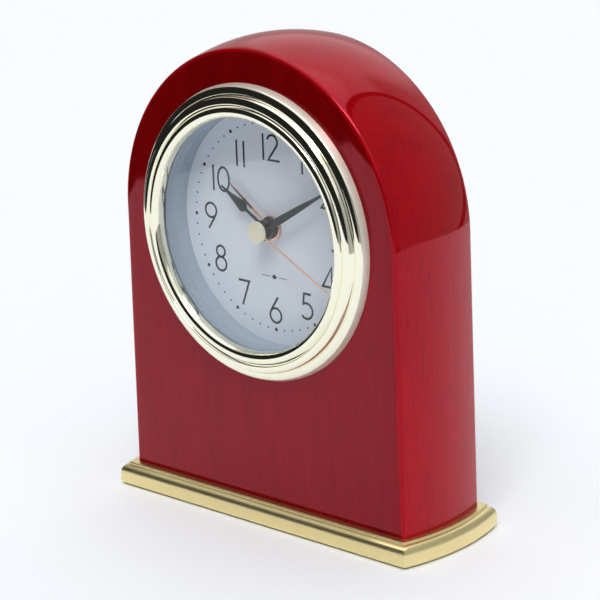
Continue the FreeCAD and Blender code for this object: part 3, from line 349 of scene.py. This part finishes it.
def case_outline(grow, arch_steps=120, side_steps=24, bottom_steps=48):
    """The arch seen from the front, grown outwards, from the middle of the bottom round to it again."""
    half = FOOT_HALF + grow
    radius = ARCH_RADIUS + grow
    drop = ARCH_Z - FOOT
    turn = math.degrees(math.atan2(drop, half) - math.acos(radius / math.hypot(half, drop)))
    bend = arc((0, ARCH_Z), radius, -turn, 180 + turn, arch_steps)
    right = [(half + (bend[0][0] - half) * i / side_steps, FOOT + (bend[0][1] - FOOT) * i / side_steps)
             for i in range(side_steps)]
    left = [(-x, z) for x, z in reversed(right)]
    bottom_right = [(half * i / bottom_steps, FOOT) for i in range(bottom_steps)]
    bottom_left = [(-half + half * i / bottom_steps, FOOT) for i in range(1, bottom_steps)]
    return bottom_right + right + bend + left + bottom_left


def rim_profile():
    """(growth, depth) from the front face round the barrel-shaped rim to the back face."""
    blend_angle = 78.0
    start_depth = FRONT + RIM_ROUND * (1 - math.cos(math.radians(blend_angle)))
    start_grow = -RIM_ROUND * (1 - math.sin(math.radians(blend_angle)))
    corner = [(-RIM_ROUND + RIM_ROUND * math.sin(math.radians(a)),
               FRONT + RIM_ROUND * (1 - math.cos(math.radians(a)))) for a in (0, 13, 26, 39, 52, 65)]
    steps = 32
    barrel = []
    for step in range(steps + 1):
        depth = start_depth * (1 - 2 * step / steps)
        barrel.append((start_grow + (BULGE - start_grow) * (1 - (depth / start_depth) ** 2), depth))
    return corner + barrel + [(grow, -depth) for grow, depth in reversed(corner)]


def make_case():
    rows = []
    count = len(case_outline(0.0))
    middle = Vector((0, DIAL_Z))
    front_edge = case_outline(-RIM_ROUND)
    directions = [(Vector(point) - middle).normalized() for point in front_edge]
    bore = [middle + direction * BORE for direction in directions]

    def face_rows(depth, shares):
        """Rings that widen from the bore to the outline of a flat face."""
        return [[(b.x + (x - b.x) * share, depth, b.y + (z - b.y) * share)
                 for b, (x, z) in zip(bore, front_edge)] for share in shares]

    rows += face_rows(FRONT, (0, 0.25, 0.5, 0.75))
    rows += [[(x, depth, z) for x, z in case_outline(grow)] for grow, depth in rim_profile()]
    rows += face_rows(BACK, (0.75, 0.5, 0.25, 0))
    rows += [[(b.x, depth, b.y) for b in bore] for depth in (BACK - 8, 0, FRONT + 8)]
    points = [point for row in rows for point in row]
    piece = make_piece("arch_case", points, grid_faces(len(rows), count, close_rows=True), "wood", "case",
                       ("wood_case",), True, 30.0)
    # The flat front and back faces take the darker wood copy, which is painted shade.
    piece.data.materials.append(MATERIALS["wood_face_painted_shade"])
    for polygon in piece.data.polygons:
        polygon.material_index = 1 if abs(polygon.normal.y) > 0.999 else 0


# ---------------------------------------------------------------- plinth

def layer_outline(half_width, half_depth, bow, inset=0.0, end_steps=32, front_steps=8):
    """A plinth layer from above: straight front and back, bowed ends, all moved inwards by inset."""
    radius = (half_depth ** 2 + bow ** 2) / (2 * bow)
    centre = half_width + bow - radius
    radius -= inset
    depth = half_depth - inset
    reach = math.degrees(math.asin(depth / radius))
    right = arc((centre, 0), radius, -reach, reach, end_steps)
    left = [(-x, -y) for x, y in right]
    corner = right[0][0]
    front = [(-corner + 2 * corner * i / front_steps, -depth) for i in range(1, front_steps)]
    back = [(-x, -y) for x, y in front]
    return right + back + left + front


def layer(name, node, bow, profile, replaces):
    """A plinth layer: profile is (inset, height) from the inner underside round to the middle of the top."""
    high = box_mm(node)[1]
    half_depth = high.y
    half_width = high.x - bow
    rows = [layer_outline(half_width, half_depth, bow, inset) for inset, _ in profile]
    count = len(rows[0])
    points = [(x, y, height) for row, (_, height) in zip(rows, profile) for x, y in row]
    faces = grid_faces(len(rows), count)
    faces.append(tuple(reversed(range(count))))
    faces.append(tuple(range((len(rows) - 1) * count, len(rows) * count)))
    return make_piece(name, points, faces, "satin_gold", "case", replaces, True, 40.0)


def make_plinth():
    low, high = box_mm("base_plinth")
    plinth_bow = 3.5
    plinth_hollow = 8.0
    toe_round = 1.2
    nose_round = 2.6
    toe = [(toe_round * (1 - math.cos(math.radians(a))), low.z + toe_round * (1 + math.sin(math.radians(a))))
           for a in range(-90, 1, 10)]
    nose = [(nose_round * (1 - math.cos(math.radians(a))),
             high.z - nose_round * (1 - math.sin(math.radians(a)))) for a in range(0, 91, 10)]
    plinth_profile = [(plinth_hollow, low.z)] + toe + nose + [(plinth_hollow, high.z)]
    layer("plinth", "base_plinth", plinth_bow, plinth_profile, ("base_plinth",))
    low, high = box_mm("base_step_plate")
    step_bow = 3.0
    step_hollow = 6.0
    step_round = 0.45
    step_profile = [(step_round - step_round * math.sin(math.radians(a)),
                     high.z - step_round + step_round * math.cos(math.radians(a)))
                    for a in (90, 70, 50, 30, 10, 0)]
    step_profile = [(step_hollow, low.z), (0.0, low.z)] + step_profile + [(step_hollow, high.z)]
    layer("plinth_step", "base_step_plate", step_bow, step_profile, ("base_step_plate",))


# ---------------------------------------------------------------- bezel and dial

def turned_arc(crest, radius, start, end, steps):
    """Profile points round a crest (radius, height); angles in degrees, outwards from straight ahead."""
    angles = [math.radians(start + (end - start) * step / steps) for step in range(steps + 1)]
    return [(crest[0] + radius * math.sin(a), crest[1] - radius * (1 - math.cos(a))) for a in angles]


def make_bezel():
    """Three cushion-shaped steps that rise inwards, each with a round outer shoulder and a sharp valley."""
    back = box_mm("bezel_ring")[1].y
    inner = 34.6
    glass_seat = 36.6
    outer_wall = 37.3
    rise = [(44.0, 0.0), (44.0, 0.3)] + turned_arc((42.84, 2.54), 0.55, 71, 42, 5)
    rise += turned_arc((41.4, 3.035), 2.9, 38, 0, 10) + [(41.26, 3.02), (41.17, 2.95)]
    rise += [(41.12, 2.96), (40.68, 4.42), (40.58, 4.58)] + turned_arc((38.65, 5.2), 3.6, 31, 0, 10)
    rise += [(38.5, 5.15), (38.38, 5.04), (38.12, 4.62), (38.08, 4.62)]
    rise += [(37.8, 5.05), (37.7, 5.18)] + turned_arc((36.4, 5.6), 2.4, 31, 0, 8)
    rise += turned_arc((36.4, 5.6), 1.8, -6, -90, 14)
    profile = [(inner, LENS_FRONT), (glass_seat, LENS_FRONT), (glass_seat, back), (outer_wall, back),
               (outer_wall, FRONT)]
    profile += [(radius, FRONT - height) for radius, height in rise]
    piece = lathe("bezel", profile, "polished_gold", "case", ("bezel_ring",), 256, 24.0)
    piece.data.materials.append(MATERIALS["bezel_flank"])
    flank_radius = 43.3
    for polygon in piece.data.polygons:
        centre = polygon.center / MM
        if math.hypot(centre.x, centre.z - DIAL_Z) > flank_radius and centre.y < FRONT:
            polygon.material_index = 1


def make_dial_surround():
    low, high = box_mm("dial_surround")
    outer = high.x
    inner = 35.2
    profile = [(outer, low.y), (outer, high.y), (inner, high.y), (inner, high.y - 0.6)]
    profile += [(inner + 0.05, high.y - 0.9), (inner + 0.1, low.y + 0.8)]
    profile += [(inner, low.y + 0.4), (inner, low.y)]
    # The wall takes the darkened white plastic, which is painted shade.
    lathe("dial_wall", profile, "white_plastic", "case", ("dial_surround",), 192)


STROKE = 0.088
GLYPHS = {
    "0": [arc((0, 0), 1, 90, 450, 48)],
    "1": [[(0, 0), (0, 1)]],
    "2": [arc((-0.05, 0.74), 0.25, 165, -38, 24) + [(-0.27, STROKE / 2), (0.30, STROKE / 2)]],
    "3": [arc((0, 0.765), 0.235, 150, -90, 20), arc((-0.01, 0.265), 0.265, 90, -150, 24)],
    "4": [[(0.33, 0.25), (-0.33, 0.25), (0.12, 1.0), (0.12, 0.0)]],
    "5": [[(0.22, 1 - STROKE / 2), (-0.12, 1 - STROKE / 2), (-0.17, 0.56)]
          + arc((-0.02, 0.30), 0.30, 112, -140, 28)],
    "6": [arc((0, 0.28), 0.28, 0, 360, 36), [(0.14, 1.0), (-0.12, 0.62), (-0.225, 0.445)]],
    "7": [[(-0.28, 1 - STROKE / 2), (0.27, 1 - STROKE / 2), (-0.10, 0.0)]],
    "8": [arc((0, 0.755), 0.215, 0, 360, 32), arc((0, 0.27), 0.27, 0, 360, 36)],
    "9": [arc((0, 0.72), 0.28, 0, 360, 36), [(-0.14, 0.0), (0.12, 0.38), (0.225, 0.555)]],
}
GLYPH_WIDTHS = {"0": 0.68, "1": 0.36}
NUMERAL_HEIGHT = 7.9
NUMERAL_RADIUS = 24.9
DOUBLE_NUMERAL_RADIUS = 23.8
PRINT_THICK = 0.02
INK_THICK = 0.9 * PRINT_THICK
TRACK_RADIUS = 30.95
HOUR_DOT = 0.55
MINUTE_DOT = 0.28


def ribbon(path, width):
    """The outline of a stroke of constant width along a path, mitred at its corners."""
    closed = (Vector(path[0]) - Vector(path[-1])).length < 1e-6
    spots = [Vector(spot) for spot in (path[:-1] if closed else path)]
    count = len(spots)
    left = []
    right = []
    for index, spot in enumerate(spots):
        before = spots[index - 1] if closed or index else spot
        after = spots[(index + 1) % count] if closed or index < count - 1 else spot
        incoming = (spot - before).normalized() if before != spot else (after - spot).normalized()
        outgoing = (after - spot).normalized() if after != spot else incoming
        along = (incoming + outgoing).normalized()
        side = Vector((-along.y, along.x))
        reach = width / 2 / max(0.5, along.dot(incoming))
        left.append(spot + side * reach)
        right.append(spot - side * reach)
    return left, right, closed


def stroke_quads(path, width):
    """A stroke as small outlines, one for each of its runs."""
    left, right, closed = ribbon(path, width)
    count = len(left)
    runs = count if closed else count - 1
    return [[tuple(left[i]), tuple(left[(i + 1) % count]), tuple(right[(i + 1) % count]), tuple(right[i])]
            for i in range(runs)]


def numeral_strokes(text, centre):
    """The strokes of a number, upright, its middle at centre."""
    widths = [GLYPH_WIDTHS.get(figure, 0.66) for figure in text]
    cursor = -sum(widths) / 2
    quads = []
    for figure, width in zip(text, widths):
        for path in GLYPHS[figure]:
            if figure == "0":
                path = [(x * 0.285, 0.5 + y * (0.5 - STROKE / 2)) for x, y in path]
            placed = [(centre[0] + (cursor + width / 2 + x) * NUMERAL_HEIGHT,
                       centre[1] + (y - 0.5) * NUMERAL_HEIGHT) for x, y in path]
            quads += stroke_quads(placed, STROKE * NUMERAL_HEIGHT)
        cursor += width
    return quads


def make_dial_print():
    front = DIAL_FRONT - PRINT_THICK
    quads = []
    for hour in range(1, 13):
        angle = math.radians(30 * hour)
        radius = DOUBLE_NUMERAL_RADIUS if hour > 9 else NUMERAL_RADIUS
        quads += numeral_strokes(str(hour), (radius * math.sin(angle), radius * math.cos(angle)))
    plate("dial_numerals", quads, front, INK_THICK, "print_ink", "case")
    dots = []
    for minute in range(60):
        angle = math.radians(6 * minute)
        centre = (TRACK_RADIUS * math.sin(angle), TRACK_RADIUS * math.cos(angle))
        dots.append(arc(centre, HOUR_DOT if minute % 5 == 0 else MINUTE_DOT, 0, 345, 23))
    plate("dial_minute_track", dots, front, INK_THICK, "print_ink", "case")
    rule_start = 1.7
    rule_end = 5.0
    rule_half = 0.09
    lozenge = [(0, -0.8), (1.1, 0), (0, 0.8), (-1.1, 0)]
    ornament_z = -14.9
    rules = [[(side * rule_start, -rule_half), (side * rule_end, -rule_half),
              (side * rule_end, rule_half), (side * rule_start, rule_half)] for side in (-1, 1)]
    ornament = [[(x, z + ornament_z) for x, z in outline] for outline in rules + [lozenge]]
    plate("dial_ornament", ornament, front, INK_THICK, "print_ink", "case")


# ---------------------------------------------------------------- hands

def blade_outline(right_side):
    return right_side + [(-x, z) for x, z in reversed(right_side)]


def hub(name, radius, front, back, bore, material, body, replaces=()):
    """A hand's round boss, with small chamfers."""
    chamfer = 0.12
    profile = [(bore, front), (radius - chamfer, front), (radius, front + chamfer), (radius, back - chamfer),
               (radius - chamfer, back), (bore, back)]
    return lathe(name, profile, material, body, replaces, 96, sharp_angle=60.0)


# clockwise from 12, in degrees
HAND_ANGLES = {"hour": 301.5, "minute": 59.6, "second": 118.0, "alarm": 305.7}


def make_hands():
    alarm_front = box_mm("alarm_hand")[0].y
    hour_front = box_mm("hour_hand")[0].y
    minute_front = box_mm("minute_hand")[0].y
    second_front = box_mm("second_hand")[0].y
    sheet = 0.35
    alarm_side = [(0.42, 0), (0.38, 12), (0.14, 19.3)]
    plate("alarm_hand_blade", [blade_outline(alarm_side)], alarm_front + 0.05, 0.25, "copper_tone",
          "alarm_hand", (), HAND_ANGLES["alarm"])
    hub("alarm_hand_hub", 3.7, alarm_front, alarm_front + 0.7, 2.66, "copper_tone", "alarm_hand",
        ("alarm_hand",))
    bulb_radius = 1.7
    bulb_middle = 11.0
    bulb = [(bulb_radius * math.sin(math.radians(a)), bulb_middle - bulb_radius * math.cos(math.radians(a)))
            for a in (20, 40, 60, 80, 95)]
    hour_side = [(0.55, 0), (0.45, 5), (0.42, 9.1)] + bulb
    hour_side += [(1.45, 12.4), (1.05, 14.2), (0.6, 16.4), (0.15, 20.7)]
    plate("hour_hand_blade", [blade_outline(hour_side)], hour_front, sheet, "black_paint", "hour_hand",
          (), HAND_ANGLES["hour"])
    hub("hour_hand_hub", 3.05, hour_front, hour_front + 1.45, 1.93, "black_paint", "hour_hand",
        ("hour_hand",))
    minute_side = [(0.7, 0), (0.85, 2.5), (1.18, 7), (0.9, 17), (0.25, 29.2)]
    plate("minute_hand_blade", [blade_outline(minute_side)], minute_front, sheet, "black_paint",
          "minute_hand", (), HAND_ANGLES["minute"])
    hub("minute_hand_hub", 3.05, minute_front, minute_front + 1.7, 1.2, "black_paint", "minute_hand",
        ("minute_hand",))
    second_side = [(0.36, -2.5), (0.34, 3), (0.26, 29.5)]
    plate("second_hand_blade", [blade_outline(second_side)], second_front + 0.1, 0.2, "copper_tone",
          "second_hand", (), HAND_ANGLES["second"])
    hub("second_hand_hub", 1.6, second_front, second_front + 0.35, 0.55, "copper_tone", "second_hand",
        ("second_hand",))
    low, high = box_mm("hand_cap")
    radius = high.x
    rounding = 0.25
    socket_radius = 0.56
    socket_floor = low.y + 0.6
    pin_hole = 0.02
    edge = [(radius - rounding + dx, low.y + rounding - dz) for dx, dz in arc((0, 0), rounding, 90, 0, 5)]
    profile = [(pin_hole, socket_floor), (pin_hole, low.y)] + edge
    profile += [(radius, high.y), (socket_radius, high.y), (socket_radius, socket_floor)]
    lathe("gold_cap", profile, "cap_gold", "second_hand", ("hand_cap",), 96)


# ---------------------------------------------------------------- studio

CAMERA_TARGET = Vector((5.7, -4.7, 66.9)) * MM
CAMERA_DISTANCE = 0.720
CAMERA_AZIMUTH = 42.79
CAMERA_ELEVATION = 16.29
CAMERA_ROLL = -1.974
CAMERA_LENS = 147.28
FLOOR_EDGE = [(-0.28, -0.55), (0.42, -0.55), (0.45, 0.10), (0.46, 0.25), (0.36, 0.36), (0.19, 0.45),
              (-0.15, 0.62), (-0.52, 3.0), (-3.0, 3.0), (-3.0, 0.1), (-0.46, 0.1)]


def make_camera():
    azimuth = math.radians(CAMERA_AZIMUTH)
    elevation = math.radians(CAMERA_ELEVATION)
    away = Vector((math.sin(azimuth) * math.cos(elevation), -math.cos(azimuth) * math.cos(elevation),
                   math.sin(elevation)))
    data = bpy.data.cameras.new("camera")
    data.lens = CAMERA_LENS
    data.sensor_width = 36.0
    data.clip_start = 0.01
    data.clip_end = 50.0
    camera = bpy.data.objects.new("camera", data)
    bpy.context.scene.collection.objects.link(camera)
    camera.location = CAMERA_TARGET + away * CAMERA_DISTANCE
    facing = (-away).to_track_quat("-Z", "Y")
    camera.rotation_mode = "QUATERNION"
    camera.rotation_quaternion = facing @ Euler((0, 0, math.radians(CAMERA_ROLL))).to_quaternion()
    bpy.context.scene.camera = camera


def make_floor():
    mesh = bpy.data.meshes.new("floor")
    mesh.from_pydata([(x, y, 0.0) for x, y in FLOOR_EDGE], [], [tuple(range(len(FLOOR_EDGE)))])
    floor = bpy.data.objects.new("floor", mesh)
    bpy.context.scene.collection.objects.link(floor)
    material, tree, shader = new_material("floor_paper")
    paper = noise(tree, 0.05, detail=2.0)
    tones = ramp(tree, paper, [(0.3, (0.890, 0.906, 0.932)), (0.7, (0.895, 0.911, 0.937))])
    link(tree, tones, shader, "Base Color")
    shader.inputs["Roughness"].default_value = 0.9
    shader.inputs["Specular IOR Level"].default_value = 0.1
    mesh.materials.append(material)


# azimuth (0 in front, 90 to the right), elevation, half width, half height, edge softness, brightness
STUDIO_PANELS = (
    (-145, 42, 32, 26, 0.5, 0.90),     # window behind and to the left
    (50, 48, 48, 24, 0.4, 0.90),       # wall above the camera
    (0, 90, 900, 45, 0.25, 1.00),      # ceiling
    (0, 90, 900, 30, 0.3, 1.50),       # lamp panel in the ceiling
    (-85, 0, 45, 56, 0.2, 0.52),       # left wall
    (34, 54, 22, 9, 0.3, 10.5),        # key lamp above the camera
    (-38, 6, 60, 34, 0.15, 0.015),     # opening in front
    (56, 0, 34, 22, 0.4, 0.34),        # wall behind the camera
    (133, 22, 39, 40, 0.02, 0.04),     # dark gap round the board on the right
    (133, 22, 36, 36.5, 0.03, 0.38),   # board on the right
)
ROOM_LEVEL = 0.45


def make_world():
    """A room of soft panels that only light and reflect; the camera sees an even pale backdrop instead."""
    world = bpy.data.worlds.new("studio")
    bpy.context.scene.world = world
    world.use_nodes = True
    tree = world.node_tree
    direction = add_node(tree, "ShaderNodeTexCoord").outputs["Generated"]
    split = add_node(tree, "ShaderNodeSeparateXYZ", None, Vector=direction).outputs

    def combine(operation, *values):
        node = add_node(tree, "ShaderNodeMath", {"operation": operation})
        for index, value in enumerate(values):
            if isinstance(value, bpy.types.NodeSocket):
                tree.links.new(value, node.inputs[index])
            else:
                node.inputs[index].default_value = value
        return node.outputs[0]

    def share(value, half):
        """|value / half| cubed, which gives panels rounded corners."""
        return combine("POWER", combine("ABSOLUTE", combine("DIVIDE", value, half)), 3.0)
    elevation = combine("ARCSINE", split["Z"])
    level = ROOM_LEVEL
    for panel in STUDIO_PANELS:
        azimuth, middle, half_width, half_height = [math.radians(angle) for angle in panel[:4]]
        softness, brightness = panel[4:]
        across = combine("ADD", combine("MULTIPLY", split["X"], math.cos(azimuth)),
                         combine("MULTIPLY", split["Y"], math.sin(azimuth)))
        along = combine("SUBTRACT", combine("MULTIPLY", split["X"], math.sin(azimuth)),
                        combine("MULTIPLY", split["Y"], math.cos(azimuth)))
        spread = combine("ADD", share(combine("ARCTAN2", across, along), half_width),
                         share(combine("SUBTRACT", elevation, middle), half_height))
        inside = add_node(tree, "ShaderNodeMapRange", {"interpolation_type": "SMOOTHSTEP"}, Value=spread)
        inside.inputs["From Min"].default_value = 1 + softness
        inside.inputs["From Max"].default_value = 1 - softness
        kept = combine("MULTIPLY", combine("SUBTRACT", 1.0, inside.outputs["Result"]), level)
        level = combine("MULTIPLY_ADD", inside.outputs["Result"], brightness, kept)
    studio = add_node(tree, "ShaderNodeBackground", None, Color=(0.97, 0.985, 1.0, 1), Strength=level)
    seen = add_node(tree, "ShaderNodeBackground", None, Color=(0.920, 0.930, 0.948, 1), Strength=1.0)
    rays = add_node(tree, "ShaderNodeLightPath")
    mixed = add_node(tree, "ShaderNodeMixShader", None, Fac=rays.outputs["Is Camera Ray"])
    tree.links.new(studio.outputs[0], mixed.inputs[1])
    tree.links.new(seen.outputs[0], mixed.inputs[2])
    output = next(node for node in tree.nodes if node.type == "OUTPUT_WORLD")
    tree.links.new(mixed.outputs[0], output.inputs["Surface"])


make_camera()
make_floor()
make_world()
make_case()
make_plinth()
make_bezel()
make_dial_surround()
make_dial_print()
make_hands()

bpy.context.scene.view_settings.view_transform = "Standard"
bpy.context.view_layer.update()
